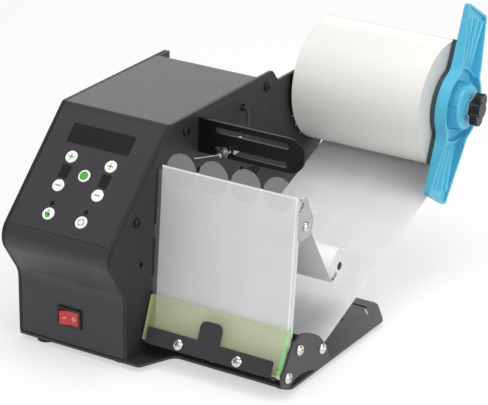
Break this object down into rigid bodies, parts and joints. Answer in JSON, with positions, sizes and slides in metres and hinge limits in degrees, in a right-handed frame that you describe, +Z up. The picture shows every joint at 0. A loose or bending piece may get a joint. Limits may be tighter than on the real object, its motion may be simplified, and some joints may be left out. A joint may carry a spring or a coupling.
{
  "type": "label dispenser",
  "caption": "Tabletop label dispenser: sheet metal control box with sloping keypad, peel plate with take-up roller and presser flap, and an overhung roll spindle with a moulded holder.",
  "frame": {"origin": "on the table under the middle of the machine's bounding box", "axes": "+X from the control box towards the free end of the roll, +Y from the control panel to the roll at the back, +Z up"},
  "size_m": [0.2404, 0.3354, 0.2199],
  "materials": {
    "graphite_paint": "fine satin powder coat",
    "black_paint": "satin black",
    "overlay_film": "printed film",
    "window_film": "dark tinted",
    "lamp_lens": "clear tinted",
    "key_white": "white with a green symbol",
    "board_green": "solder mask",
    "component_black": "moulded",
    "rocker_red": "moulded",
    "zinc_steel": "nickel plated",
    "peel_steel": "satin",
    "bronze": "sintered",
    "roller_aluminium": "anodised",
    "rubber_black": "matte",
    "liner_paper": "coated paper",
    "roll_paper": "wound labels",
    "label_clear": "clear film",
    "window_green": "tinted acrylic",
    "holder_blue": "moulded",
    "core_board": "wound card"
  },
  "bodies": {
    "housing": {"base_plate": "graphite_paint", "base_brackets": "graphite_paint", "left_side_plate": "graphite_paint", "right_side_plate": "graphite_paint", "front_cover": "graphite_paint", "rear_panel": "graphite_paint", "rubber_feet": "rubber_black", "pan_head_screws": "black_paint", "rod_screws": "zinc_steel", "control_overlay": "overlay_film", "panel_windows": "window_film", "status_lamps": "lamp_lens", "circuit_board": "board_green", "display_modules": "component_black", "tact_switches": "component_black", "switch_housing": "component_black", "motor_bracket": "zinc_steel", "gear_motor": "zinc_steel", "takeup_bushes": "bronze", "power_supply": "component_black", "power_inlet": "component_black", "label_web": "liner_paper", "liner_return": "liner_paper", "dispensed_labels": "label_clear", "peel_plate": "peel_steel", "peel_bracket": "zinc_steel", "cross_rods": "zinc_steel", "presser_spring": "zinc_steel", "sensor_bar": "black_paint", "sensor_switch": "component_black", "hex_nuts": "zinc_steel", "sensor_cable": "component_black", "spindle_rod": "zinc_steel", "spindle_washer": "zinc_steel"},
    "takeup": {"takeup_shaft": "zinc_steel", "takeup_gear": "bronze", "takeup_roller": "roller_aluminium", "wound_liner": "liner_paper"},
    "pinion": {"motor_pinion": "bronze"},
    "clip": {"liner_clip": "zinc_steel"},
    "supply": {"roll_flange": "component_black", "roll_core": "core_board", "supply_roll": "roll_paper", "holder_pad": "component_black", "roll_holder": "holder_blue"},
    "guide_roller": {"rear_guide_roller": "component_black"},
    "knob": {"clamp_knob": "component_black"},
    "flap": {"presser_strip": "graphite_paint", "presser_window": "window_green", "presser_screws": "zinc_steel"},
    "rocker": {"switch_rocker": "rocker_red"},
    "feeler": {"sensor_wire": "zinc_steel"},
    "key_speed_up": {"button_speed_up": "key_white"},
    "key_rows_up": {"button_rows_up": "key_white"},
    "key_reset": {"button_reset": "key_white"},
    "key_speed_down": {"button_speed_down": "key_white"},
    "key_rows_down": {"button_rows_down": "key_white"},
    "key_manual": {"button_manual": "key_white"},
    "key_auto": {"button_auto": "key_white"}
  },
  "joints": [
    {"name": "supply_turn", "type": "hinge", "parent": "housing", "child": "supply", "pos_m": [0.0372, 0.11921, 0.14333], "axis": [1, 0, 0], "continuous": true},
    {"name": "takeup_turn", "type": "hinge", "parent": "housing", "child": "takeup", "pos_m": [0.0322, -0.04784, 0.0715], "axis": [1, 0, 0], "continuous": true},
    {"name": "pinion_turn", "type": "hinge", "parent": "housing", "child": "pinion", "pos_m": [-0.0328, -0.01564, 0.0715], "axis": [1, 0, 0], "continuous": true},
    {"name": "guide_roller_turn", "type": "hinge", "parent": "housing", "child": "guide_roller", "pos_m": [0.0372, -0.07814, 0.0195], "axis": [1, 0, 0], "continuous": true},
    {"name": "liner_clip_slide", "type": "slide", "parent": "takeup", "child": "clip", "axis": [1, 0, 0], "range_m": [0, 0.1]},
    {"name": "knob_turn", "type": "hinge", "parent": "housing", "child": "knob", "pos_m": [0.1152, 0.11921, 0.14333], "axis": [1, 0, 0], "continuous": true},
    {"name": "flap_hinge", "type": "hinge", "parent": "housing", "child": "flap", "pos_m": [0.0372, -0.12534, 0.0161], "axis": [1, 0, 0], "range_deg": [0, 75], "stiffness_Nm_per_rad": 0.02, "springref_deg": -57.3},
    {"name": "rocker_tilt", "type": "hinge", "parent": "housing", "child": "rocker", "pos_m": [-0.0721, -0.14544, 0.028], "axis": [0, 0, 1], "range_deg": [-20, 0]},
    {"name": "feeler_swing", "type": "hinge", "parent": "housing", "child": "feeler", "pos_m": [0.0017, -0.06364, 0.1425], "axis": [0, 0, 1], "range_deg": [-10, 10], "stiffness_Nm_per_rad": 0.002},
    {"name": "speed_up_press", "type": "slide", "parent": "housing", "child": "key_speed_up", "axis": [0, 0.6947, -0.7193], "range_m": [0, 0.0008], "stiffness_N_per_m": 300, "springref_m": -0.001},
    {"name": "rows_up_press", "type": "slide", "parent": "housing", "child": "key_rows_up", "axis": [0, 0.6947, -0.7193], "range_m": [0, 0.0008], "stiffness_N_per_m": 300, "springref_m": -0.001},
    {"name": "reset_press", "type": "slide", "parent": "housing", "child": "key_reset", "axis": [0, 0.6947, -0.7193], "range_m": [0, 0.0008], "stiffness_N_per_m": 300, "springref_m": -0.001},
    {"name": "speed_down_press", "type": "slide", "parent": "housing", "child": "key_speed_down", "axis": [0, 0.6947, -0.7193], "range_m": [0, 0.0008], "stiffness_N_per_m": 300, "springref_m": -0.001},
    {"name": "rows_down_press", "type": "slide", "parent": "housing", "child": "key_rows_down", "axis": [0, 0.6947, -0.7193], "range_m": [0, 0.0008], "stiffness_N_per_m": 300, "springref_m": -0.001},
    {"name": "manual_press", "type": "slide", "parent": "housing", "child": "key_manual", "axis": [0, 0.6947, -0.7193], "range_m": [0, 0.0008], "stiffness_N_per_m": 300, "springref_m": -0.001},
    {"name": "auto_press", "type": "slide", "parent": "housing", "child": "key_auto", "axis": [0, 0.6947, -0.7193], "range_m": [0, 0.0008], "stiffness_N_per_m": 300, "springref_m": -0.001}
  ],
  "couplings": [
    {"joint": "takeup_turn", "follows": "supply_turn", "ratio": -3.7452},
    {"joint": "pinion_turn", "follows": "supply_turn", "ratio": 11.236},
    {"joint": "guide_roller_turn", "follows": "supply_turn", "ratio": 9.7}
  ]
}
